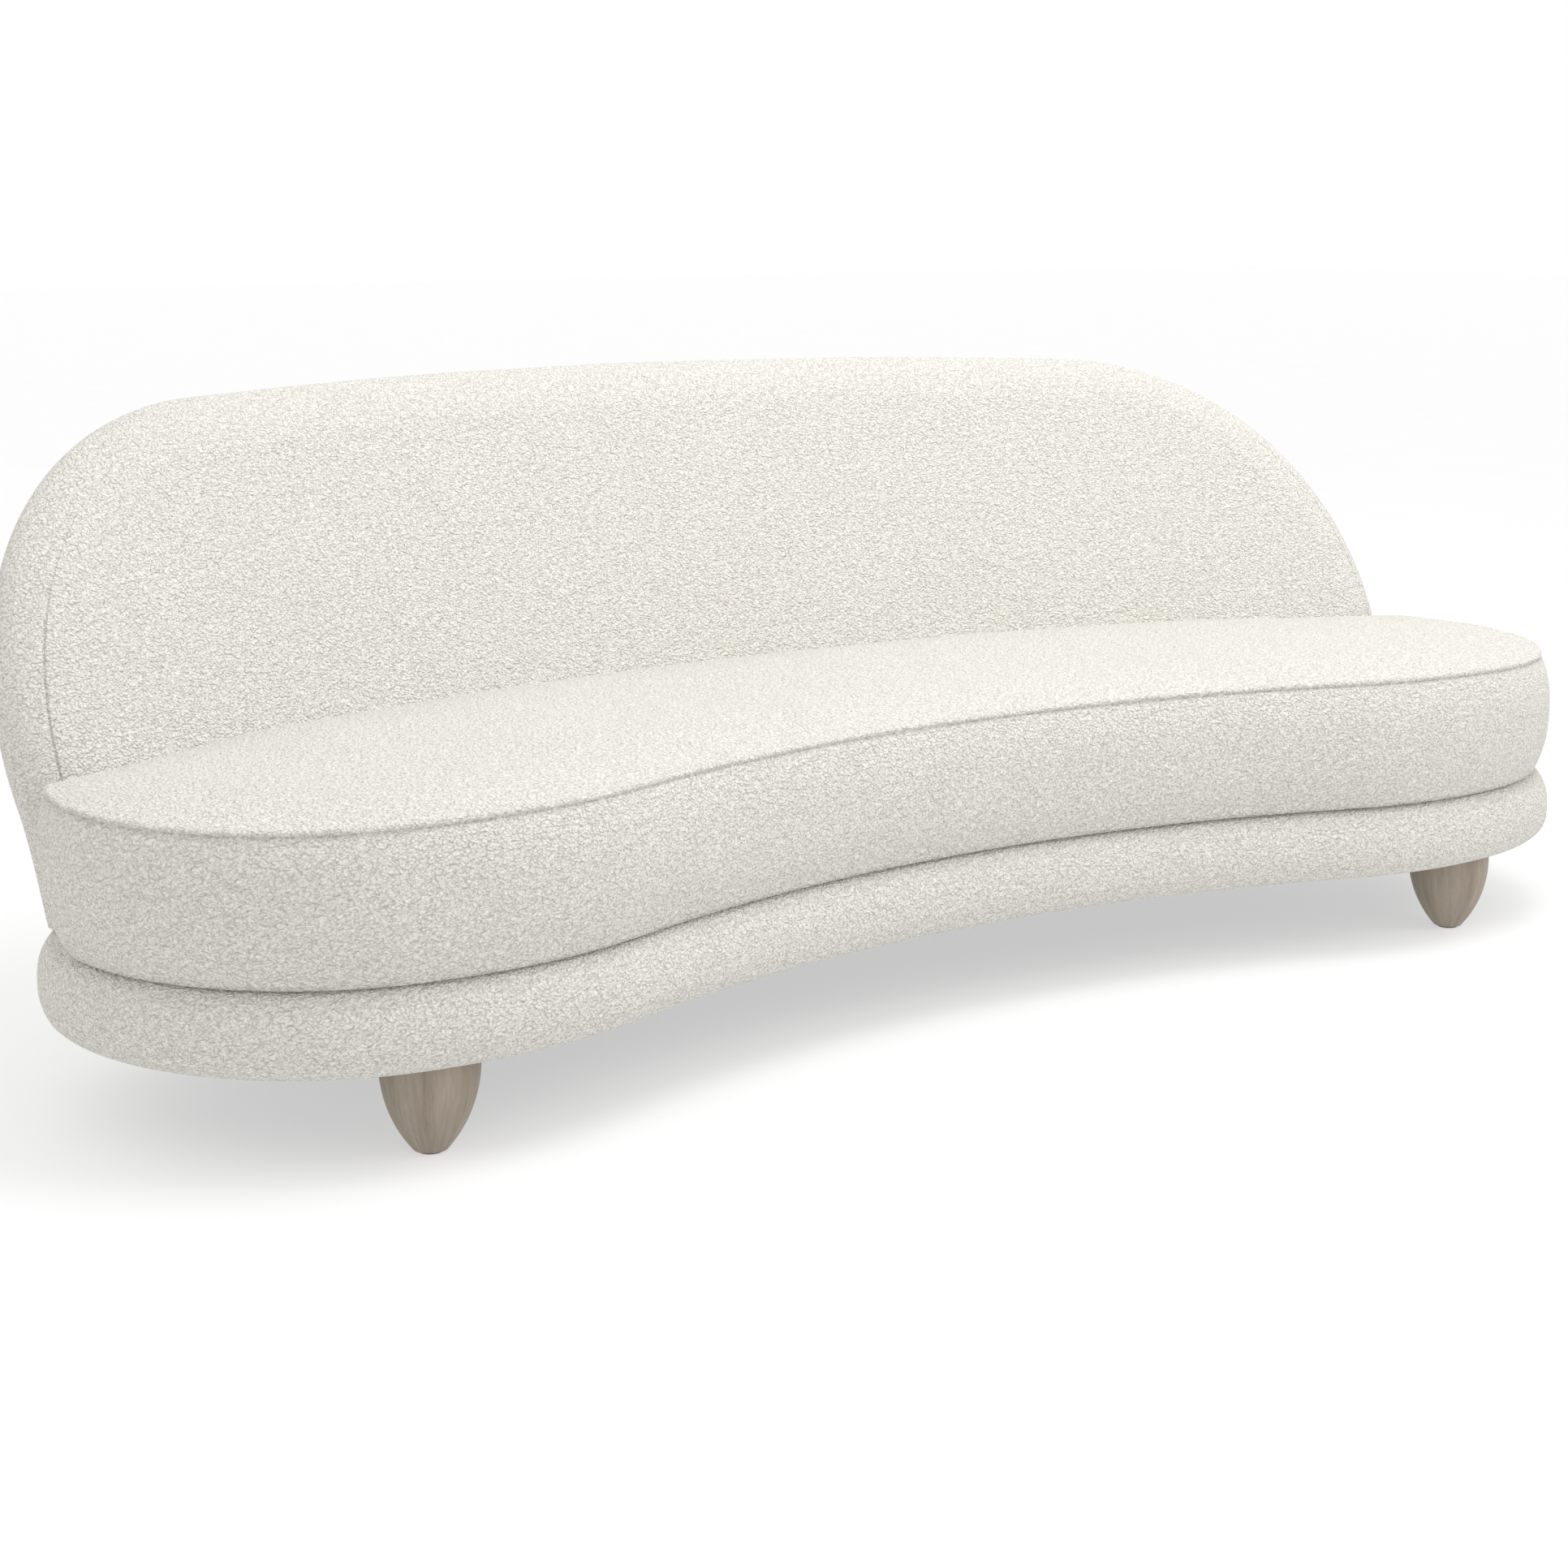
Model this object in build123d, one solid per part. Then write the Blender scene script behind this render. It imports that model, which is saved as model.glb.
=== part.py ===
from build123d import *

import os
from math import atan2, cos, degrees, radians, sin, sqrt, tan

# A curved sofa on four turned legs. Millimetres, +Z up, front towards -Y.
# The origin is on the floor, under the middle of the sofa's box.

# --- plan of the seat: a hollow front, two round lobes and a bowed rear ---
FRONT_MID_Y = -385.0      # middle of the hollow front
FRONT_RADIUS = 1775.0     # hollow front curve
LOBE_RADIUS = 604.0       # first curve of each lobe
LOBE_X = 812.0            # its centre
END_RADIUS = 350.0        # tighter curve round the end
HANDOVER = -80.0          # direction in which the lobe curve hands over to the end curve
REAR_RADIUS = 2900.0      # bowed rear
BULGE = 13.0              # padding stands this far outside the plan line

# --- heights ---
LEG_HEIGHT = 116.0
BASE_TOP = 221.0
CUSHION_TOP = 413.0       # mean height of the crowned top panel
BACK_TOP = 848.0
LIFT_GAP = 0.3            # clearance under and between bodies

# --- base build-up ---
CLOTH = 2.0               # upholstery cloth with its backing
LIP = 70.0                # cloth turned in over the top and under the bottom
ROLL = 46.0               # radius of the padded edge
BOARD = 18.0              # plywood
DECK_BOARD = 16.0
DUST_COVER = 1.0
RAIL_INSET = 46.0         # outer face of the rails, inside the plan line
RAIL_INNER = RAIL_INSET + BOARD
STRAP = 2.0
STRAP_WIDTH = 60.0
STRAP_COUNT = 15
STRAP_PITCH = 140.0

# --- legs ---
LEG_RADIUS = 60.0
LEG_CURVE = 160.0         # radius of the turned profile
LEG_STRAIGHT = 8.0        # straight part under the base
GLIDE = 3.0
GLIDE_RADIUS = 15.0
FRONT_LEG = (872.0, -445.0)
REAR_LEG = (600.0, 151.0)
LEG_BLOCK = 100.0
LEG_BLOCK_HEIGHT = 40.0
BOLT_RADIUS = 4.0         # M8
BOLT_IN_LEG = 50.0

# --- back: a raked slab, bowed round an upright axis ---
SEAT_LEVEL = 430.0        # height at which the back's curve is measured
BACK_RADIUS = 2800.0      # its front face there
BACK_FACE_Y = 222.0       # middle of the front face there
RAKE = 25.0
BACK_THICKNESS = 124.0
HALF_SPAN = 1204.0        # half width, measured along the front face
CORNER = 483.0            # big round top corners
CROWN_RADIUS = 17400.0    # gentle arch of the top
FRONT_FOAM = 50.0
REAR_FOAM = 12.0
EDGE_FOAM = 20.0
RIM_WIDTH = 70.0
BACK_RAIL = 22.0
BACK_GAP = 3.0            # between the cushion and the back
BACK_BOLT_RADIUS = 5.0    # M10
BACK_BOLT_TURNS = (-20.0, -12.0, -4.0, 4.0, 12.0, 20.0)
POST_TURNS = (-23.0, -16.0, -8.0, 0.0, 8.0, 16.0, 23.0)
POST_WIDTH = 45.0

WRAP = 10.0               # fibre wrap round the cushion's foam

FRONT_CENTRE = (0.0, FRONT_MID_Y - FRONT_RADIUS)
LOBE_CENTRE = (LOBE_X, FRONT_CENTRE[1] + sqrt((FRONT_RADIUS + LOBE_RADIUS) ** 2 - LOBE_X**2))
END_CENTRE = (
    LOBE_CENTRE[0] + (LOBE_RADIUS - END_RADIUS) * cos(radians(HANDOVER)),
    LOBE_CENTRE[1] + (LOBE_RADIUS - END_RADIUS) * sin(radians(HANDOVER)),
)
REAR_CENTRE = (0.0, END_CENTRE[1] - sqrt((REAR_RADIUS - END_RADIUS) ** 2 - END_CENTRE[0] ** 2))
BACK_AXIS_Y = BACK_FACE_Y - BACK_RADIUS
UP = (0, 0, 1)


def bearing(start, end):
    return degrees(atan2(end[1] - start[1], end[0] - start[0]))


FRONT_TURN = bearing(FRONT_CENTRE, LOBE_CENTRE)
REAR_TURN = bearing(REAR_CENTRE, END_CENTRE)

# Each arc of the plan: name, centre, radius, start angle, sweep, and the side that is outside.
ARCS = [
    ("front", FRONT_CENTRE, FRONT_RADIUS, FRONT_TURN, 180 - 2 * FRONT_TURN, -1),
    ("right", LOBE_CENTRE, LOBE_RADIUS, FRONT_TURN - 180, HANDOVER + 180 - FRONT_TURN, 1),
    ("right", END_CENTRE, END_RADIUS, HANDOVER, REAR_TURN - HANDOVER, 1),
    ("rear", REAR_CENTRE, REAR_RADIUS, REAR_TURN, 180 - 2 * REAR_TURN, 1),
    ("left", (-END_CENTRE[0], END_CENTRE[1]), END_RADIUS, 180 - REAR_TURN, REAR_TURN - HANDOVER, 1),
    ("left", (-LOBE_X, LOBE_CENTRE[1]), LOBE_RADIUS, 180 - HANDOVER, HANDOVER + 180 - FRONT_TURN, 1),
]


def plan_face(inset):
    """The plan, moved in by inset from the plan line."""
    edges = []
    for _, centre, radius, start, sweep, side in ARCS:
        edges.append(CenterArc(centre, radius - side * inset, start, sweep))
    return Face(Wire(edges))


def plate(inset, low, high):
    return extrude(Pos(0, 0, low) * plan_face(inset), high - low, dir=UP)


def band(profile, sides):
    """A section drawn in (inset, height), carried round the named sides of the plan."""
    pieces = []
    for name, centre, radius, start, sweep, side in ARCS:
        if name not in sides:
            continue
        across = (cos(radians(start)), sin(radians(start)), 0)
        plane = Plane(origin=(*centre, 0), x_dir=across, z_dir=(across[1], -across[0], 0))
        flat = Pos(radius, 0) * (mirror(profile, Plane.YZ) if side > 0 else profile)
        pieces.append(revolve(plane * flat, Axis((*centre, 0), UP), sweep))
    whole = pieces[0]
    for piece in pieces[1:]:
        whole = whole + piece
    return whole


def strip(inner, outer, low, high, corner=0.0):
    """A section from inset outer to inset inner, its two outer corners rounded."""
    section = Pos(outer, low) * Rectangle(inner - outer, high - low, align=(Align.MIN, Align.MIN))
    if corner:
        section = fillet(section.vertices().group_by(Axis.X)[0], corner)
    return section


def back_radius(depth, height):
    return BACK_RADIUS + depth + tan(radians(RAKE)) * (height - SEAT_LEVEL)


def bowed(depth_near, depth_far, low, high, start=60.0, end=120.0, upright=False):
    """Part of a raked cone between two depths behind the front face."""
    heights = (low, low) if upright else (low, high)
    corners = [
        (back_radius(depth_near, heights[0]), low),
        (back_radius(depth_far, heights[0]), low),
        (back_radius(depth_far, heights[1]), high),
        (back_radius(depth_near, heights[1]), high),
    ]
    across = (cos(radians(start)), sin(radians(start)), 0)
    plane = Plane(origin=(0, BACK_AXIS_Y, 0), x_dir=across, z_dir=(across[1], -across[0], 0))
    section = make_face(Polyline(*corners, close=True))
    return revolve(plane * section, Axis((0, BACK_AXIS_Y, 0), UP), end - start)


def ring(radius_near, radius_far, low, high):
    """An upright bowed wall round the back's axis."""
    return Pos(0, BACK_AXIS_Y, low) * (
        Cylinder(radius_far, high - low, align=(Align.CENTER, Align.CENTER, Align.MIN))
        - Cylinder(radius_near, high - low, align=(Align.CENTER, Align.CENTER, Align.MIN))
    )


def back_outline(inset, reach, low):
    """The back's outline on an upright plane at reach from its axis, spread with that distance."""
    def at(along, height):
        return (reach * tan(along / BACK_RADIUS), height)

    side = HALF_SPAN - inset
    corner_x = HALF_SPAN - CORNER
    crown_z = BACK_TOP - CROWN_RADIUS
    corner_z = crown_z + sqrt((CROWN_RADIUS - CORNER) ** 2 - corner_x**2)
    turn = degrees(atan2(corner_x, corner_z - crown_z))
    corner = []
    for step in range(9):
        angle = radians(90 - (90 - turn) * step / 8)
        corner.append((corner_x + (CORNER - inset) * sin(angle), corner_z + (CORNER - inset) * cos(angle)))
    top = []
    for step in range(9):
        angle = radians(turn - 2 * turn * step / 8)
        top.append(((CROWN_RADIUS - inset) * sin(angle), crown_z + (CROWN_RADIUS - inset) * cos(angle)))
    left_corner = [(-x, z) for x, z in reversed(corner)]
    edges = [
        Line(at(-side, low), at(side, low)),
        Line(at(side, low), at(*corner[0])),
        Spline(*[at(*point) for point in corner]),
        Spline(*[at(*point) for point in top]),
        Spline(*[at(*point) for point in left_corner]),
        Line(at(*left_corner[-1]), at(-side, low)),
    ]
    plane = Plane(origin=(0, BACK_AXIS_Y + reach, 0), x_dir=(1, 0, 0), z_dir=(0, -1, 0))
    return plane * Face(Wire(edges))


PRISMS = {}


def back_prism(inset):
    """Everything inside the back's outline, spreading out from the axis."""
    if inset not in PRISMS:
        near = back_outline(inset, 0.75 * BACK_RADIUS, BASE_TOP - 20)
        far = back_outline(inset, 1.2 * BACK_RADIUS, BASE_TOP - 20)
        PRISMS[inset] = loft([near, far], ruled=True)
    return PRISMS[inset]


def slab(depth_near, depth_far, inset, low=BASE_TOP, high=BACK_TOP + 20):
    return bowed(depth_near, depth_far, low, high) & back_prism(inset)


def write(node, shape):
    solids = [solid for solid in shape.solids() if solid.volume > 1.0]
    body = solids[0] if len(solids) == 1 else Compound(solids)
    export_step(body, "parts/" + node + ".step")
    return body


os.makedirs("parts", exist_ok=True)

# --- legs, glides and their fixings ---
LEG_PLACES = {
    "front_left_leg": (-FRONT_LEG[0], FRONT_LEG[1]),
    "front_right_leg": FRONT_LEG,
    "rear_left_leg": (-REAR_LEG[0], REAR_LEG[1]),
    "rear_right_leg": REAR_LEG,
}
BLOCK_LOW = LEG_HEIGHT + CLOTH + BOARD
BLOCK_TOP = BLOCK_LOW + LEG_BLOCK_HEIGHT
NUT_BARREL = 5.5
NUT_FLANGE = 11.0
NUT_DEPTH = 12.0


def leg():
    """A turned leg: straight under the base, then one round curve down to a small foot."""
    shoulder = LEG_HEIGHT - LEG_STRAIGHT
    centre_r = LEG_RADIUS - LEG_CURVE
    foot = centre_r + sqrt(LEG_CURVE**2 - (shoulder - GLIDE) ** 2)
    half = (shoulder - GLIDE) / 2
    middle = centre_r + sqrt(LEG_CURVE**2 - half**2)
    edges = [
        Line((0, GLIDE), (foot, GLIDE)),
        ThreePointArc((foot, GLIDE), (middle, shoulder - half), (LEG_RADIUS, shoulder)),
        Line((LEG_RADIUS, shoulder), (LEG_RADIUS, LEG_HEIGHT)),
        Line((LEG_RADIUS, LEG_HEIGHT), (0, LEG_HEIGHT)),
        Line((0, LEG_HEIGHT), (0, GLIDE)),
    ]
    turned = revolve(Plane.XZ * Face(Wire(edges)), Axis.Z)
    bore = Cylinder(BOLT_RADIUS, BOLT_IN_LEG, align=(Align.CENTER, Align.CENTER, Align.MAX))
    return turned - Pos(0, 0, LEG_HEIGHT) * bore


def upright(radius, low, high):
    return Pos(0, 0, low) * Cylinder(radius, high - low, align=(Align.CENTER, Align.CENTER, Align.MIN))


LEG = leg()
for node, (x, y) in LEG_PLACES.items():
    write(node, Pos(x, y, 0) * LEG)

bolts = []
nuts = []
glides = []
blocks = []
leg_holes = []
block_zone = plate(RAIL_INNER, BLOCK_LOW, BLOCK_TOP)
rear_rail_zone = ring(2600.0, 2698.0, BLOCK_LOW, BLOCK_TOP)
for x, y in LEG_PLACES.values():
    spot = Pos(x, y, 0)
    bolts.append(spot * upright(BOLT_RADIUS, LEG_HEIGHT - BOLT_IN_LEG, BLOCK_TOP + 4))
    nut = upright(NUT_BARREL, BLOCK_TOP - NUT_DEPTH, BLOCK_TOP) + upright(NUT_FLANGE, BLOCK_TOP, BLOCK_TOP + 2)
    nuts.append(spot * (nut - upright(BOLT_RADIUS, BLOCK_TOP - 20, BLOCK_TOP + 10)))
    glides.append(spot * upright(GLIDE_RADIUS, 0, GLIDE))
    leg_holes.append(spot * upright(NUT_BARREL, LEG_HEIGHT, BLOCK_TOP + 4))
    block = spot * Pos(0, 0, BLOCK_LOW) * Box(
        LEG_BLOCK, LEG_BLOCK, LEG_BLOCK_HEIGHT, align=(Align.CENTER, Align.CENTER, Align.MIN)
    )
    blocks.append(((block & block_zone) - rear_rail_zone) - leg_holes[-1])
write("leg_bolts", Compound(bolts))
write("leg_t_nuts", Compound(nuts))
write("leg_glides", Compound(glides))
write("leg_blocks", Compound([solid for block in blocks for solid in block.solids()]))


# --- plinth under the cushion: a plywood box with a padded edge ---
BOARD_LOW = LEG_HEIGHT + CLOTH
DECK_TOP = BASE_TOP - CLOTH
RAIL_TOP = DECK_TOP - DECK_BOARD
SEAT_RAIL_NEAR = back_radius(0, BASE_TOP) - 23.0
SEAT_RAIL_FAR = SEAT_RAIL_NEAR + BOARD
CROSS_PLACES = (-750.0, -250.0, 250.0, 750.0)
CROSS_HEIGHT = 60.0
SCREW_RADIUS = 2.5
SCREW_LENGTH = 45.0
SCREW_HEAD = 5.0
SCREW_PITCH = 330.0

hollow = plate(RAIL_INNER, BLOCK_LOW, RAIL_TOP)
seat_rail_wall = ring(SEAT_RAIL_NEAR, SEAT_RAIL_FAR, BLOCK_LOW, RAIL_TOP)
behind_seat = ring(SEAT_RAIL_FAR, SEAT_RAIL_FAR + 600, LEG_HEIGHT, BASE_TOP)
before_seat = ring(SEAT_RAIL_FAR - 2000, SEAT_RAIL_NEAR, LEG_HEIGHT, BASE_TOP)
deck_near = ring(SEAT_RAIL_FAR - 2000, SEAT_RAIL_FAR - 1, LEG_HEIGHT, BASE_TOP)
deck_far = ring(SEAT_RAIL_FAR - 1, SEAT_RAIL_FAR + 600, LEG_HEIGHT, BASE_TOP)

screws = []
for _, centre, radius, start, sweep, side in ARCS:
    reach = radius - side * (RAIL_INSET + RAIL_INNER) / 2
    count = max(1, round(radians(sweep) * reach / SCREW_PITCH))
    for index in range(count):
        angle = radians(start + sweep * (index + 0.5) / count)
        shank = upright(SCREW_RADIUS, BOARD_LOW, BOARD_LOW + SCREW_LENGTH)
        head = upright(SCREW_HEAD, BOARD_LOW, BOARD_LOW + SCREW_RADIUS)
        place = Pos(centre[0] + reach * cos(angle), centre[1] + reach * sin(angle), 0)
        screws.append(place * (shank + head))
screws = Compound(screws)
write("rail_screws", screws)

bottom_board = plate(RAIL_INSET, BOARD_LOW, BLOCK_LOW)
for hole in leg_holes:
    bottom_board = bottom_board - hole
write("base_bottom_board", bottom_board - screws)
rail = strip(RAIL_INNER, RAIL_INSET, BLOCK_LOW, RAIL_TOP)
write("base_front_rail", band(rail, ("front",)) - screws)
write("base_rear_rail", band(rail, ("rear",)) - screws)
write("base_left_end_rail", band(rail, ("left",)) - screws)
write("base_right_end_rail", band(rail, ("right",)) - screws)
write("seat_rear_rail", seat_rail_wall & hollow)

crosses = []
struts = []
for x in CROSS_PLACES:
    beam = Pos(x, 0, BLOCK_LOW) * Box(BOARD, 2000, CROSS_HEIGHT, align=(Align.CENTER, Align.CENTER, Align.MIN))
    beam = beam & hollow
    crosses += (beam & before_seat).solids()
    struts += (beam & behind_seat).solids()
write("base_cross_rails", Compound(crosses))
write("base_rear_struts", Compound(struts))

# Bolts through the back's bottom rail and the deck board under it.
FRAME_NEAR = CLOTH + FRONT_FOAM
FRAME_FAR = BACK_THICKNESS - CLOTH - REAR_FOAM
RIM_LOW = BASE_TOP + BACK_RAIL
BOLT_HEAD = 6.0
BOLT_HEAD_RADIUS = 8.5
NUT_HEIGHT = 8.0
back_bolts = []
back_nuts = []
bolt_reach = back_radius((FRAME_NEAR + STRAP + FRAME_FAR) / 2, RIM_LOW + BOLT_HEAD / 2)
for turn in BACK_BOLT_TURNS:
    spot = Pos(bolt_reach * sin(radians(turn)), BACK_AXIS_Y + bolt_reach * cos(radians(turn)), 0)
    shank = upright(BACK_BOLT_RADIUS, RAIL_TOP - NUT_HEIGHT, RIM_LOW)
    back_bolts.append(spot * (shank + upright(BOLT_HEAD_RADIUS, RIM_LOW, RIM_LOW + BOLT_HEAD)))
    nut = upright(BOLT_HEAD_RADIUS, RAIL_TOP - NUT_HEIGHT, RAIL_TOP)
    back_nuts.append(spot * (nut - upright(BACK_BOLT_RADIUS, RAIL_TOP - 2 * NUT_HEIGHT, RAIL_TOP)))
back_bolts = Compound(back_bolts)
write("back_bolts", back_bolts)
write("back_nuts", Compound(back_nuts))
write("rear_deck_board", (plate(RAIL_INSET, RAIL_TOP, DECK_TOP) & deck_far) - back_bolts)

straps = []
strap_zone = plate(RAIL_INSET + 2, RAIL_TOP, RAIL_TOP + STRAP) & deck_near
for index in range(STRAP_COUNT):
    x = (index - (STRAP_COUNT - 1) / 2) * STRAP_PITCH
    straps += (Pos(x, 0, RAIL_TOP + STRAP / 2) * Box(STRAP_WIDTH, 2000, 2 * STRAP) & strap_zone).solids()
write("seat_webbing", Compound(straps))
write("deck_pad", plate(RAIL_INSET, RAIL_TOP + STRAP, DECK_TOP) & deck_near)
write("deck_cloth", plate(LIP, DECK_TOP, BASE_TOP) - back_bolts)

roll = strip(RAIL_INSET, -BULGE + CLOTH, BOARD_LOW, DECK_TOP, ROLL - CLOTH)
write("base_front_foam", band(roll, ("front",)))
write("base_left_foam", band(roll, ("left",)))
write("base_right_foam", band(roll, ("right",)))
write("base_rear_foam", band(roll, ("rear",)))
skin = strip(LIP, -BULGE, LEG_HEIGHT, BASE_TOP, ROLL)
skin = skin - strip(LIP + 10, -BULGE + CLOTH, BOARD_LOW, DECK_TOP, ROLL - CLOTH)
write("base_cover", band(skin, ("front", "right", "rear", "left")))
write("dust_cover", plate(LIP, BOARD_LOW - DUST_COVER, BOARD_LOW) - Compound(leg_holes))

# --- back: two plywood rims on a bowed rail, webbing, foam and three cloth panels ---
FRAME_INSET = CLOTH + EDGE_FOAM

write("back_bottom_rail", slab(FRAME_NEAR + STRAP, FRAME_FAR, FRAME_INSET, BASE_TOP, RIM_LOW) - back_bolts)
rim = back_prism(FRAME_INSET) - back_prism(FRAME_INSET + RIM_WIDTH)
for node, near in (("back_front_rim", FRAME_NEAR + STRAP), ("back_rear_rim", FRAME_FAR - BOARD)):
    write(node, bowed(near, near + BOARD, RIM_LOW, BACK_TOP + 20) & rim)
posts = []
post_turn = degrees(POST_WIDTH / BACK_RADIUS) / 2
for turn in POST_TURNS:
    start = 90 - turn - post_turn
    wedge = bowed(
        FRAME_NEAR + STRAP + BOARD, FRAME_FAR - BOARD, RIM_LOW, BACK_TOP + 20, start, start + 2 * post_turn
    )
    posts += (wedge & back_prism(FRAME_INSET)).solids()
write("back_posts", Compound(posts))
webs = []
web_turn = degrees(STRAP_WIDTH / BACK_RADIUS) / 2
for index in range(9):
    turn = 5.4 * (index - 4)
    start = 90 - turn - web_turn
    wedge = bowed(FRAME_NEAR, FRAME_NEAR + STRAP, BASE_TOP, BACK_TOP + 20, start, start + 2 * web_turn)
    webs += (wedge & back_prism(FRAME_INSET + 10)).solids()
write("back_webbing", Compound(webs))
write("back_front_foam", slab(CLOTH, FRAME_NEAR, CLOTH))
write("back_rear_foam", slab(FRAME_FAR, BACK_THICKNESS - CLOTH, CLOTH))
edge = slab(FRAME_NEAR, FRAME_FAR, CLOTH) - back_prism(FRAME_INSET)
write("back_edge_foam", edge)
write("inside_back_cover", slab(0, CLOTH, 0))
write("outside_back_cover", slab(BACK_THICKNESS - CLOTH, BACK_THICKNESS, 0))
write("back_edge_band", slab(CLOTH, BACK_THICKNESS - CLOTH, 0) - back_prism(CLOTH))

# --- loose seat cushion ---
CUSHION_LOW = BASE_TOP + LIFT_GAP


def cushion_block(inset, low, high):
    """The cushion's plan, its rear face following the raked back."""
    behind = bowed(-BACK_GAP - inset, 1500, CUSHION_LOW - 50, CUSHION_TOP + 50)
    return plate(inset - BULGE, low, high) - behind


write("cushion_bottom_panel", cushion_block(0, CUSHION_LOW, CUSHION_LOW + CLOTH))
write("cushion_top_panel", cushion_block(0, CUSHION_TOP - CLOTH, CUSHION_TOP))
inner = (CUSHION_LOW + CLOTH, CUSHION_TOP - CLOTH)
wrap = cushion_block(CLOTH, *inner)
write("cushion_boxing", cushion_block(0, *inner) - wrap)
core = cushion_block(CLOTH + WRAP, inner[0] + WRAP, inner[1] - WRAP)
write("cushion_foam_core", core)
write("cushion_fibre_wrap", wrap - core)
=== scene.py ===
from math import atan2, cos, degrees, pi, radians, sin, sqrt, tan

import bpy
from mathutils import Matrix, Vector, kdtree, noise


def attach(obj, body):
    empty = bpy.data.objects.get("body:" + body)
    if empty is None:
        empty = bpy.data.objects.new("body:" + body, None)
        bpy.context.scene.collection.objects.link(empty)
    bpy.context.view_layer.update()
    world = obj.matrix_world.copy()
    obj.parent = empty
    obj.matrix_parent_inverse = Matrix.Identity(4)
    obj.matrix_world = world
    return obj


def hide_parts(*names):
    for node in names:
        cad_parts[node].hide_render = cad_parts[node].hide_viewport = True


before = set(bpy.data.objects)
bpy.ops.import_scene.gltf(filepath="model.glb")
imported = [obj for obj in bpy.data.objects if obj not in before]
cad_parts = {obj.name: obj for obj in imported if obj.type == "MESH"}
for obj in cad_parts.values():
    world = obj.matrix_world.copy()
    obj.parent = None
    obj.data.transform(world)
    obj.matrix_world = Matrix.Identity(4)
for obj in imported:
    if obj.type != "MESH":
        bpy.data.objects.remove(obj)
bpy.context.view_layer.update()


# ---------------------------------------------------------------------------
# Plinth cover: looped cloth pulled over a foam roll all round the plywood box.
# One closed section is carried round the six arcs of the plan, front first.
front_mid_y = -0.385
front_radius = 1.775
lobe_radius = 0.604
lobe_x = 0.812
end_radius = 0.350
handover = -80.0
rear_radius = 2.900
bulge = 0.013
leg_height = 0.116
base_top = 0.221
step_length = 0.012
section_points = 64
roll_reach = 0.046
roll_tuck = 0.055
upper_fullness = 0.84
lower_fullness = 0.70
tuck_fullness = 0.25
tuck_depth_power = 0.4
roll_bottom = leg_height - 0.003
roll_height = base_top - roll_bottom
roll_middle = (base_top + roll_bottom) / 2

front_centre = (0.0, front_mid_y - front_radius)
lobe_centre = (lobe_x, front_centre[1] + sqrt((front_radius + lobe_radius) ** 2 - lobe_x**2))
end_centre = (
    lobe_centre[0] + (lobe_radius - end_radius) * cos(radians(handover)),
    lobe_centre[1] + (lobe_radius - end_radius) * sin(radians(handover)),
)
rear_centre = (0.0, end_centre[1] - sqrt((rear_radius - end_radius) ** 2 - end_centre[0] ** 2))
front_turn = degrees(atan2(lobe_centre[1] - front_centre[1], lobe_centre[0]))
rear_turn = degrees(atan2(end_centre[1] - rear_centre[1], end_centre[0]))
left_end = (-end_centre[0], end_centre[1])
left_lobe = (-lobe_centre[0], lobe_centre[1])
plan_turns = [
    (front_centre, front_radius, front_turn - 90),
    (lobe_centre, lobe_radius, handover + 180 - front_turn),
    (end_centre, end_radius, rear_turn - handover),
    (rear_centre, rear_radius, 180 - 2 * rear_turn),
    (left_end, end_radius, rear_turn - handover),
    (left_lobe, lobe_radius, handover + 180 - front_turn),
    (front_centre, front_radius, front_turn - 90),
]


def finish_piece(piece):
    """In edit mode: turns all faces outwards, then leaves edit mode and shades the piece smooth."""
    bpy.ops.mesh.select_all(action="SELECT")
    bpy.ops.mesh.normals_make_consistent(inside=False)
    bpy.ops.object.mode_set(mode="OBJECT")
    bpy.ops.object.shade_smooth()
    return piece


bpy.ops.object.select_all(action="DESELECT")
bpy.ops.mesh.primitive_circle_add(vertices=section_points, radius=roll_reach)
plinth = bpy.context.object
plinth.name = "plinth_cover"
for index, vertex in enumerate(plinth.data.vertices):
    angle = 2 * pi * index / section_points
    if cos(angle) > 0:
        outward = cos(angle) * roll_reach
        fullness = upper_fullness if sin(angle) > 0 else lower_fullness
    else:
        outward = -abs(cos(angle)) ** tuck_depth_power * roll_tuck
        fullness = tuck_fullness
    rise = abs(sin(angle)) ** fullness * roll_height / 2
    height = roll_middle + (rise if sin(angle) > 0 else -rise)
    vertex.co = (0.0, front_mid_y + roll_reach - bulge - outward, height)
bpy.ops.object.mode_set(mode="EDIT")
bpy.ops.mesh.select_mode(type="EDGE")
bpy.ops.mesh.select_all(action="SELECT")
for centre, radius, turn in plan_turns:
    steps = max(2, round(radians(abs(turn)) * radius / step_length))
    bpy.ops.mesh.spin(steps=steps, angle=-radians(turn), center=(*centre, 0), axis=(0, 0, 1))
bpy.ops.mesh.select_all(action="SELECT")
bpy.ops.mesh.remove_doubles(threshold=0.0002)
finish_piece(plinth)


def soften(piece, amount, size, keep=None):
    """Uneven filling: the surface rises and falls a little along its own normals."""
    lifts = [vertex.normal.copy() for vertex in piece.data.vertices]
    for vertex, lift in zip(piece.data.vertices, lifts):
        place = vertex.co
        wave = noise.noise(place / size) + 0.5 * noise.noise(place * 2.3 / size + Vector((7, 3, 1)))
        share = 1.0 if keep is None else keep(place)
        vertex.co = place + lift * wave * amount * share


def between(value, low, high):
    """Eases from 0 at low to 1 at high."""
    part = min(1.0, max(0.0, (value - low) / (high - low)))
    return part * part * (3 - 2 * part)


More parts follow.
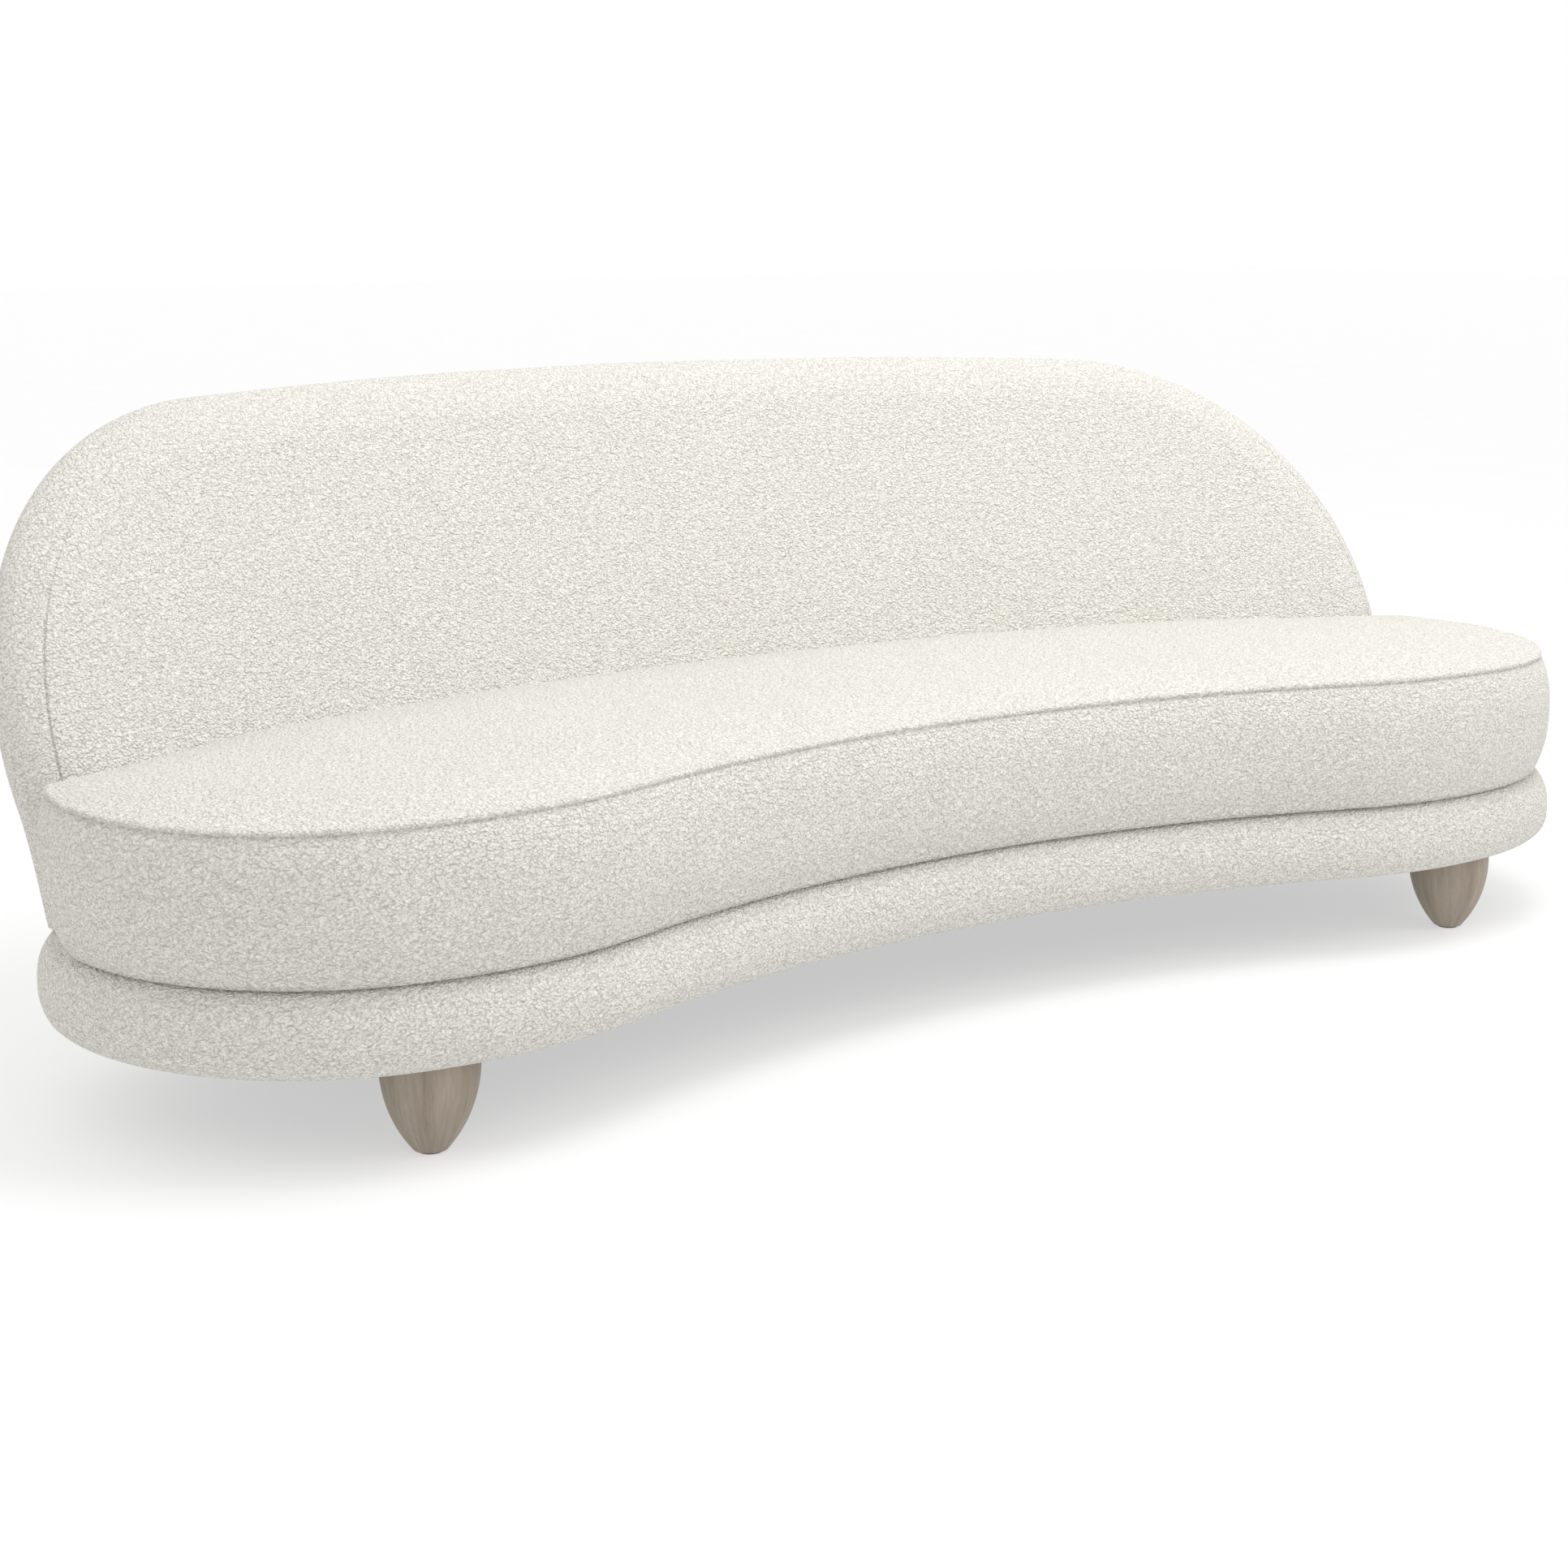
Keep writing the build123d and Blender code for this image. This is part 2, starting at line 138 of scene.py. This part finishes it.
def plinth_share(place):
    """The cloth stays flat where it meets the legs below and the deck above."""
    return between(place.z, leg_height, leg_height + 0.02) * between(base_top - place.z, 0, 0.02)


soften(plinth, 0.0020, 0.16, plinth_share)
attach(plinth, "frame")
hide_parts("base_cover", "base_front_foam", "base_left_foam", "base_right_foam", "base_rear_foam")


# ---------------------------------------------------------------------------
# Looped cream cloth of the plinth, the seat cushion and the back.
# Soft nubs about 4 mm across, packed close, with painted shade darkening the colour in the gaps between
# them.
class Socket:
    """An output socket that can be added to, multiplied and so on."""

    def __init__(self, graph, out):
        self.graph = graph
        self.out = out

    def __add__(self, other):
        return self.graph.maths("ADD", self, other)

    def __radd__(self, other):
        return self.graph.maths("ADD", other, self)

    def __sub__(self, other):
        return self.graph.maths("SUBTRACT", self, other)

    def __rsub__(self, other):
        return self.graph.maths("SUBTRACT", other, self)

    def __mul__(self, other):
        return self.graph.maths("MULTIPLY", self, other)

    def __rmul__(self, other):
        return self.graph.maths("MULTIPLY", other, self)


class Graph:
    """One material; every node in it comes from add()."""

    def __init__(self, name):
        self.material = bpy.data.materials.new(name)
        self.material.use_nodes = True
        self.tree = self.material.node_tree
        self.shader = self.tree.nodes["Principled BSDF"]

    def add(self, kind, settings=None, **inputs):
        node = self.tree.nodes.new(kind)
        for key, value in (settings or {}).items():
            setattr(node, key, value)
        for key, value in inputs.items():
            self.plug(node.inputs[key.replace("_", " ")], value)
        return node

    def plug(self, place, value):
        if isinstance(value, Socket):
            self.tree.links.new(value.out, place)
        else:
            place.default_value = value

    def get(self, node, name):
        return Socket(self, node.outputs[name])

    def maths(self, operation, first, second):
        node = self.add("ShaderNodeMath", {"operation": operation})
        self.plug(node.inputs[0], first)
        self.plug(node.inputs[1], second)
        return Socket(self, node.outputs[0])

    def vector(self, operation, *values, **inputs):
        node = self.add("ShaderNodeVectorMath", {"operation": operation}, **inputs)
        for place, value in zip(node.inputs, values):
            self.plug(place, value)
        return self.get(node, "Vector")

    def blend(self, share, first, second):
        first = (*first, 1.0) if isinstance(first, tuple) else first
        second = (*second, 1.0) if isinstance(second, tuple) else second
        node = self.add("ShaderNodeMix", {"data_type": "RGBA"}, Factor=share, A=first, B=second)
        return self.get(node, "Result")

    def place(self, scale=(1, 1, 1), turn=(0, 0, 0)):
        spot = self.get(self.add("ShaderNodeTexCoord"), "Object")
        mapping = self.add("ShaderNodeMapping", Vector=spot, Scale=scale, Rotation=turn)
        return self.get(mapping, "Vector")

    def noise(self, vector, scale, detail=2.0, read="Fac"):
        return self.get(self.add("ShaderNodeTexNoise", Vector=vector, Scale=scale, Detail=detail), read)

    def cells(self, vector, scale):
        return self.get(self.add("ShaderNodeTexVoronoi", Vector=vector, Scale=scale), "Distance")

    def wave(self, direction, scale, distortion):
        settings = {"bands_direction": direction}
        inputs = {"Vector": self.place(), "Scale": scale, "Distortion": distortion}
        node = self.add("ShaderNodeTexWave", settings, **inputs)
        return self.get(node, "Fac")

    def bump(self, height, distance, strength=1.0):
        node = self.add("ShaderNodeBump", Height=height, Distance=distance, Strength=strength)
        self.plug(self.shader.inputs["Normal"], self.get(node, "Normal"))

    def finish(self, **inputs):
        for key, value in inputs.items():
            value = (*value, 1.0) if isinstance(value, tuple) else value
            self.plug(self.shader.inputs[key.replace("_", " ")], value)
        return self.material


cloth = Graph("cream_looped_cloth")
where = cloth.place(scale=(1.0, 1.0, 1.3), turn=(0.5, 0.4, 0.6))
drift = cloth.noise(where, 90.0, 1.0, "Color")
bent = cloth.vector("MULTIPLY_ADD", drift, (0.007, 0.007, 0.007), where)
loops = cloth.cells(bent, 240.0)
small = cloth.cells(bent, 520.0)
fibre = cloth.noise(where, 1100.0)
patches = cloth.noise(where, 7.0)
height = 1.0 - loops * 1.2 - small * 0.25 + fibre * 0.2
# Painted shade: the colour turns darker in the gaps between the nubs, in place of the shade the nubs cast
# on each other.
painted_gap_shade = (loops - 0.32) * 1.8 + (small - 0.4) * 0.4
cloth.bump(height, 0.0036, 1.0)
nub = cloth.blend(patches, (0.865, 0.843, 0.78), (0.905, 0.888, 0.84))
# The darker blend colour here is the painted shade of the gaps between the nubs.
cream = cloth.finish(Base_Color=cloth.blend(painted_gap_shade, nub, (0.63, 0.60, 0.535)), Roughness=0.92)
cloth.shader.inputs["Sheen Weight"].default_value = 0.15
cloth.shader.inputs["Sheen Roughness"].default_value = 0.6
cloth.shader.inputs["Specular IOR Level"].default_value = 0.2
plinth.data.materials.append(cream)


# ---------------------------------------------------------------------------
# Seat cushion: one loose pad over the whole plinth, cut off behind by the raked back.
# Its boxing swells between two seams, and the top is crowned.
cushion_bottom = 0.2213
seam_level = 0.4010
crown = 0.0235
back_radius = 2.800
back_face_y = 0.222
seat_level = 0.430
rake = radians(25)
axis_y = back_face_y - back_radius
tip_round = 0.010
smallest_round = 0.004
back_gap = 0.003
bottom_inset = 0.0075
swell_reach = 0.0155
half_ring = 300
full_ring = 2 * half_ring
narrowest_row = 0.035
crown_spread = 0.17
tip_droop = 0.0065


def crossing(first, first_radius, second, second_radius):
    """Where two circles cross, on the right-hand side."""
    apart = Vector(second) - Vector(first)
    gap = apart.length
    along = (first_radius**2 - second_radius**2 + gap**2) / (2 * gap)
    across = sqrt(max(0.0, first_radius**2 - along**2))
    line = apart / gap
    side = Vector((-line.y, line.x))
    choices = [Vector(first) + line * along + side * across, Vector(first) + line * along - side * across]
    return max(choices, key=lambda point: point.x)


def arc(centre, radius, begin, end, count):
    """Points round an arc, between two bearings in degrees, without its last one."""
    turns = [radians(begin + (end - begin) * step / count) for step in range(count)]
    return [Vector((centre[0] + radius * cos(turn), centre[1] + radius * sin(turn))) for turn in turns]


def cushion_ring(inset, level):
    """The cushion's outline at a height, drawn in by inset: 300 points in front, 300 behind."""
    rear_reach = back_radius + tan(rake) * (level - seat_level) - back_gap - max(0.0, inset)
    side = end_radius - inset
    fillet = max(smallest_round, tip_round - max(0.0, inset))
    middle = crossing(end_centre, side - fillet, (0.0, axis_y), rear_reach - fillet)
    leave = degrees(atan2(middle.y - end_centre[1], middle.x - end_centre[0]))
    meet = degrees(atan2(middle.y - axis_y, middle.x))
    half = (leave + meet) / 2
    mirror = (-middle.x, middle.y)
    front = arc(mirror, fillet, 180 - half, 180 - leave, 6)
    front += arc(left_end, side, 180 - leave, 180 - handover, 50)
    front += arc(left_lobe, lobe_radius - inset, -180 - handover, -front_turn, 48)
    front += arc(front_centre, front_radius + inset, 180 - front_turn, front_turn, 92)
    front += arc(lobe_centre, lobe_radius - inset, front_turn - 180, handover, 48)
    front += arc(end_centre, side, handover, leave, 50)
    front += arc(middle, fillet, leave, half, 6)
    rear = arc(middle, fillet, half, meet, 6)
    rear += arc((0.0, axis_y), rear_reach, meet, 180 - meet, 288)
    rear += arc(mirror, fillet, 180 - meet, 180 - half, 6)
    return front, rear


def skin_piece(name, points, faces):
    """A piece begun as a plane, whose points and faces are then laid where the sizes above put them."""
    bpy.ops.object.select_all(action="DESELECT")
    bpy.ops.mesh.primitive_plane_add(size=1)
    piece = bpy.context.object
    piece.name = name
    piece.data.clear_geometry()
    piece.data.from_pydata(points, [], faces)
    piece.data.update()
    bpy.ops.object.mode_set(mode="EDIT")
    bpy.ops.mesh.select_all(action="SELECT")
    bpy.ops.mesh.remove_doubles(threshold=0.00005)
    return finish_piece(piece)


# The boxing swells from the bottom seam to the top one; a groove, a ridge and the panel follow.
levels = []
for step in range(25):
    part = step / 24
    swell = swell_reach * (1 - abs(2 * part - 1) ** 2.6)
    outset = -bottom_inset * (1 - part) ** 3 + swell
    levels.append((-outset, cushion_bottom + (seam_level - cushion_bottom) * part))
levels[0] = (bottom_inset, cushion_bottom)
for inset, above in (
    (0.0022, 0.0012),
    (0.0026, 0.0024),
    (0.0004, 0.0040),
    (-0.0006, 0.0062),
    (0.0014, 0.0092),
    (0.0052, 0.0104),
    (0.0095, 0.0100),
    (0.0145, 0.0108),
):
    levels.append((inset, seam_level + above))

points = []
faces = []
rings = []
for inset, level in levels:
    front, rear = cushion_ring(inset, level)
    rings.append(len(points))
    points += [(point.x, point.y, level) for point in front + rear]
for lower, upper in zip(rings, rings[1:]):
    for step in range(full_ring):
        after = (step + 1) % full_ring
        faces.append((lower + step, lower + after, upper + after, upper + step))


def panel_between(first_ring, rows, height_at):
    """Fills a ring of the cushion with rows that run from its front half to its rear half."""
    rim = [Vector(points[first_ring + step]) for step in range(full_ring)]
    tree = kdtree.KDTree(full_ring)
    for step, place in enumerate(rim):
        tree.insert(place, step)
    tree.balance()
    grid = []
    for step in range(half_ring + 1):
        near = rim[step]
        far = rim[(full_ring - step) % full_ring]
        line = []
        here = rows if (far - near).length > narrowest_row else 1
        for row in range(here + 1):
            part = row / here
            place = near.lerp(far, 0.5 - 0.5 * cos(pi * part))
            place.z = height_at(tree.find(place)[2], place)
            line.append(len(points))
            points.append(tuple(place))
        grid.append(line)
    for line, beside in zip(grid, grid[1:]):
        if len(line) != len(beside):
            faces.append((*line, *reversed(beside)))
            continue
        for row in range(len(line) - 1):
            faces.append((line[row], beside[row], beside[row + 1], line[row + 1]))


def crowned(distance, place):
    """The top panel's height: it climbs away from its seam and then dips a little, unevenly."""
    rise = 1 - (1 - min(1.0, distance / crown_spread)) ** 2.4
    sag = 0.004 * noise.noise(place * 2.1 + Vector((4, 9, 2))) * between(distance, 0.02, 0.2)
    rim_level = levels[-1][1]
    return rim_level + (seam_level + crown - rim_level) * rise + sag


panel_between(rings[-1], 64, crowned)
panel_between(rings[0], 12, lambda distance, place: cushion_bottom)
cushion = skin_piece("cushion_cover", points, faces)
for vertex in cushion.data.vertices:
    thin_end = between(abs(vertex.co.x), 0.75, 1.17)
    vertex.co.z -= tip_droop * thin_end * between(vertex.co.z, 0.25, 0.40)


def cushion_share(place):
    """The underside stays flat on the deck."""
    return between(place.z, cushion_bottom, cushion_bottom + 0.03)


soften(cushion, 0.0018, 0.20, cushion_share)
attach(cushion, "seat_cushion")
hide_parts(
    "cushion_bottom_panel",
    "cushion_top_panel",
    "cushion_boxing",
    "cushion_foam_core",
    "cushion_fibre_wrap",
)
cushion.data.materials.append(cream)


# ---------------------------------------------------------------------------
# Back: a bent slab that follows the rear of the seat and leans back, with half-round
# edges. A narrow band runs round it between two seams, from the seat up and over.
half_span = 1.203
corner = 0.482
back_top = 0.848
crown_radius = 17.4
back_thickness = 0.124
front_round = 0.070
rear_round = 0.054
back_foot = 0.19
foot_flare = 0.020
corner_across = half_span - corner
top_centre = back_top - crown_radius
corner_level = top_centre + sqrt((crown_radius - corner) ** 2 - corner_across**2)
corner_turn = degrees(atan2(corner_level - top_centre, corner_across))
side_steps = 44
corner_steps = 60
top_steps = 260
groove_depth = 0.0024
groove_half_width = 0.0022
ridge_height = 0.0009
ridge_from_seam = 0.0055
ridge_half_width = 0.0045
seam_fade = 0.8
fullness_spread = 0.22


def back_path(inset):
    """Across and up, from the foot of the left side over the top to the foot of the right side."""
    across = half_span - inset
    height = corner_level - back_foot
    left = []
    right = []
    for step in range(side_steps + 1):
        part = step / side_steps
        flare = foot_flare * (1 - part) ** 1.5
        left.append(Vector((-across - flare, back_foot + height * part)))
        right.insert(0, Vector((across + flare, back_foot + height * part)))
    straight_steps = top_steps - 2 * corner_steps
    path = left[:-1]
    path += arc((-corner_across, corner_level), corner - inset, 180, 180 - corner_turn, corner_steps)
    path += arc((0.0, top_centre), crown_radius - inset, 180 - corner_turn, corner_turn, straight_steps)
    path += arc((corner_across, corner_level), corner - inset, corner_turn, 0, corner_steps)
    return path + right


def on_back(across, level, depth):
    """A place on the bent, leaning slab: so far across, so high and so deep behind its face."""
    reach = back_radius + depth + tan(rake) * (level - seat_level)
    turn = across / back_radius
    return (reach * sin(turn), axis_y + reach * cos(turn), level)


def rounding(share):
    """Inset and depth at a share of the way round the edge, and which way is out there."""
    if share < 0.5:
        turn = pi / 2 * share * 2
        base = Vector((front_round * (1 - sin(turn)), front_round * (1 - cos(turn))))
        outward = Vector((-sin(turn), -cos(turn)))
    else:
        turn = pi / 2 * (share * 2 - 1)
        base = Vector((rear_round * (1 - cos(turn)), back_thickness - rear_round + rear_round * sin(turn)))
        outward = Vector((-cos(turn), sin(turn)))
    return base, outward


front_seam = 0.25
rear_seam = 0.75
shares = [step / 60 for step in range(61)]
for seam in (front_seam, rear_seam):
    shares += [seam + shift / 1000 for shift in (-24, -16, -12, -9, -6, -3, 0, 3, 6, 9, 12, 16, 24)]
points = []
faces = []
rings = []
for share in sorted(set(round(share, 5) for share in shares)):
    base, outward = rounding(share)
    reach_round = front_round if share < 0.5 else rear_round
    gap = min(abs(share - front_seam), abs(share - rear_seam)) * pi * reach_round
    ridge = ridge_height * max(0.0, 1 - ((gap - ridge_from_seam) / ridge_half_width) ** 2)
    dip = ridge - groove_depth * max(0.0, 1 - (gap / groove_half_width) ** 2)
    rings.append(len(points))
    plain = back_path(base.x)
    sunk = back_path(base.x + outward.x * dip)
    for smooth, seamed in zip(plain, sunk):
        fade = 1 - seam_fade * between(smooth.y, 0.58, 0.80)
        place = smooth.lerp(seamed, fade)
        points.append(on_back(place.x, place.y, base.y + outward.y * dip * fade))
for lower, upper in zip(rings, rings[1:]):
    for step in range(2 * side_steps + top_steps):
        faces.append((lower + step, lower + step + 1, upper + step + 1, upper + step))


def back_panel(inset, depth, swell):
    """One face of the back, filled between its foot, its sides and its top."""
    path = back_path(inset)
    left = path[: side_steps + 1]
    top = path[side_steps : side_steps + top_steps + 1]
    right = path[side_steps + top_steps :][::-1]
    width = half_span - inset + foot_flare
    tree = kdtree.KDTree(len(path))
    for step, place in enumerate(path):
        tree.insert((place.x, place.y, 0.0), step)
    tree.balance()
    grid = []
    for column in range(top_steps + 1):
        u = column / top_steps
        foot = Vector((-width + 2 * width * u, back_foot))
        line = []
        for row in range(side_steps + 1):
            v = row / side_steps
            place = left[row] * (1 - u) + right[row] * u + foot * (1 - v) + top[column] * v
            place -= (left[0] * (1 - u) + right[0] * u) * (1 - v) + (left[-1] * (1 - u) + right[-1] * u) * v
            distance = tree.find((place.x, place.y, 0.0))[2]
            fullness = swell * (1 - (1 - min(1.0, distance / fullness_spread)) ** 2)
            line.append(len(points))
            points.append(on_back(place.x, place.y, depth + fullness))
        grid.append(line)
    for line, beside in zip(grid, grid[1:]):
        for row in range(side_steps):
            faces.append((line[row], beside[row], beside[row + 1], line[row + 1]))


back_panel(front_round, 0.0, -0.006)
back_panel(rear_round, back_thickness, 0.004)
back = skin_piece("back_cover", points, faces)
soften(back, 0.0011, 0.24)
bpy.context.view_layer.objects.active = back
bpy.ops.object.mode_set(mode="EDIT")
bpy.ops.mesh.select_all(action="SELECT")
bpy.ops.mesh.bisect(plane_co=(0, 0, base_top + 0.0005), plane_no=(0, 0, 1), clear_inner=True, use_fill=True)
finish_piece(back)
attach(back, "frame")
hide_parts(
    "inside_back_cover",
    "outside_back_cover",
    "back_edge_band",
    "back_front_foam",
    "back_rear_foam",
    "back_edge_foam",
)
back.data.materials.append(cream)


# ---------------------------------------------------------------------------
# Legs: short solid turned cones of weathered oak, grey-brown, grain running up.
leg_radius = 0.060
leg_places = {
    "front_left_leg": (-0.872, -0.445),
    "front_right_leg": (0.872, -0.445),
    "rear_left_leg": (-0.600, 0.151),
    "rear_right_leg": (0.600, 0.151),
}


def paint(material, *names):
    """Gives these nodes of the frame one material."""
    for name in names:
        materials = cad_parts[name].data.materials
        materials.clear()
        materials.append(material)


for name, (across, along) in leg_places.items():
    wood = Graph("weathered_oak_" + name)
    from_axis = wood.vector("MULTIPLY_ADD", wood.place(), (1, 1, 0), (-across, -along, 0))
    around = wood.vector("SCALE", wood.vector("NORMALIZE", from_axis), Scale=leg_radius)
    grain_place = wood.vector("MULTIPLY_ADD", wood.place(), (0.02, 0.02, 0.10), around)
    wide = wood.noise(grain_place, 48.0, 2.0)
    fine = wood.noise(grain_place, 260.0, 3.0)
    hair = wood.noise(grain_place, 900.0, 2.0)
    streak = wide * 0.6 + fine * 0.4
    broad = wood.blend((streak - 0.36) * 3.0, (0.335, 0.285, 0.225), (0.225, 0.182, 0.138))
    dark = wood.blend((hair - 0.55) * 2.0, broad, (0.16, 0.128, 0.096))
    wood.bump(fine * 0.6 + hair * 0.4, 0.0004, 0.5)
    paint(wood.finish(Base_Color=dark, Roughness=fine * 0.2 + 0.42), name)


# ---------------------------------------------------------------------------
# Hardware and glides: zinc-plated bolts, nuts and screws; dark nylon discs under the legs.
zinc = Graph("zinc_plate")
zinc_cloud = zinc.noise(zinc.place(), 260.0, 3.0)
zinc.bump(zinc_cloud, 0.0001, 0.4)
zinc_coat = zinc.finish(
    Base_Color=zinc.blend(zinc_cloud, (0.60, 0.60, 0.58), (0.44, 0.45, 0.46)),
    Metallic=1.0,
    Roughness=zinc_cloud * 0.25 + 0.25,
)
nylon = Graph("dark_nylon")
nylon_grain = nylon.noise(nylon.place(), 1200.0)
nylon.bump(nylon_grain, 0.0001, 0.4)
nylon_colour = nylon.blend(nylon_grain, (0.030, 0.028, 0.026), (0.05, 0.048, 0.045))
dark_nylon = nylon.finish(Base_Color=nylon_colour, Roughness=0.5)
paint(zinc_coat, "leg_bolts", "leg_t_nuts", "rail_screws", "back_bolts", "back_nuts")
paint(dark_nylon, "leg_glides")


# ---------------------------------------------------------------------------
# Plywood box and back frame: pale birch with faint grain, sawn edges left bare.
ply = Graph("birch_plywood")
ply_place = ply.place(scale=(0.12, 1.0, 1.0))
ply_grain = ply.noise(ply_place, 150.0, 4.0)
ply_fine = ply.noise(ply_place, 700.0, 2.0)
ply.bump(ply_fine, 0.0002, 0.5)
birch = ply.finish(
    Base_Color=ply.blend(ply_grain * 0.7 + ply_fine * 0.3, (0.62, 0.47, 0.31), (0.48, 0.34, 0.21)),
    Roughness=ply_grain * 0.2 + 0.55,
)
paint(
    birch,
    "leg_blocks",
    "base_bottom_board",
    "base_front_rail",
    "base_rear_rail",
    "base_left_end_rail",
    "base_right_end_rail",
    "seat_rear_rail",
    "base_cross_rails",
    "base_rear_struts",
    "rear_deck_board",
    "back_bottom_rail",
    "back_front_rim",
    "back_rear_rim",
    "back_posts",
)


# ---------------------------------------------------------------------------
# Webbing, deck pad, deck cloth and the dust cover under the base.
web = Graph("jute_webbing")
web_wave = web.wave("DIAGONAL", 160.0, 1.5)
web.bump(web_wave, 0.0004, 0.6)
jute = web.finish(Base_Color=web.blend(web_wave, (0.09, 0.08, 0.07), (0.16, 0.14, 0.11)), Roughness=0.85)
paint(jute, "seat_webbing", "back_webbing")

deck = Graph("cream_deck_cloth")
deck_weave = deck.wave("X", 300.0, 0.6) * deck.wave("Y", 300.0, 0.6)
deck.bump(deck_weave, 0.0004, 0.6)
deck_colour = deck.blend(deck_weave, (0.62, 0.58, 0.52), (0.76, 0.73, 0.67))
paint(deck.finish(Base_Color=deck_colour, Roughness=0.9), "deck_cloth", "deck_pad")

dust = Graph("black_dust_cloth")
dust_dots = dust.cells(dust.place(), 500.0)
dust.bump(dust_dots, 0.0003, 0.5)
dust_colour = dust.blend(dust_dots, (0.02, 0.02, 0.02), (0.045, 0.045, 0.045))
paint(dust.finish(Base_Color=dust_colour, Roughness=0.95), "dust_cover")


# ---------------------------------------------------------------------------
# Floor and light: one wide flat white floor, which glows a little so that the shadow on it
# stays pale, under an even white surround and two soft lamps.
bpy.ops.object.select_all(action="DESELECT")
bpy.ops.mesh.primitive_plane_add(size=60)
floor = bpy.context.object
floor.name = "floor"
paper = Graph("white_floor")
paper_cloud = paper.noise(paper.place(), 3.0)
floor.data.materials.append(
    paper.finish(
        Base_Color=paper.blend(paper_cloud, (0.40, 0.40, 0.40), (0.42, 0.42, 0.42)),
        Roughness=0.8,
        Emission_Color=(1.0, 1.0, 1.0),
        Emission_Strength=0.52,
    )
)

world = bpy.data.worlds.new("pale_room")
world.use_nodes = True
world.node_tree.nodes["Background"].inputs["Color"].default_value = (1.0, 1.0, 1.0, 1.0)
world.node_tree.nodes["Background"].inputs["Strength"].default_value = 1.0
bpy.context.scene.world = world
bpy.context.scene.view_settings.view_transform = "Standard"


def lamp(name, place, target, size, power):
    """A round soft lamp that points at its target."""
    bpy.ops.object.light_add(type="AREA", location=place)
    light = bpy.context.object
    light.name = name
    light.data.shape = "DISK"
    light.data.size = size
    light.data.energy = power
    light.rotation_euler = (Vector(target) - Vector(place)).to_track_quat("-Z", "Y").to_euler()


lamp("broad_overhead", (0.6, -0.9, 3.6), (0, 0.1, 0.6), 2.2, 58)
lamp("front_right", (3.0, -3.4, 3.0), (0, -0.2, 0.4), 1.6, 32)


# ---------------------------------------------------------------------------
# Camera: left of the front, a little above the back, looking slightly down.
bpy.ops.object.camera_add(location=(-2.3717, -3.3007, 1.1088), rotation=(radians(85.5), 0, radians(-35.58)))
camera = bpy.context.object
camera.data.sensor_width = 36
camera.data.lens = 64.28
camera.data.shift_x = -0.0159
camera.data.shift_y = -0.2329
bpy.context.scene.camera = camera
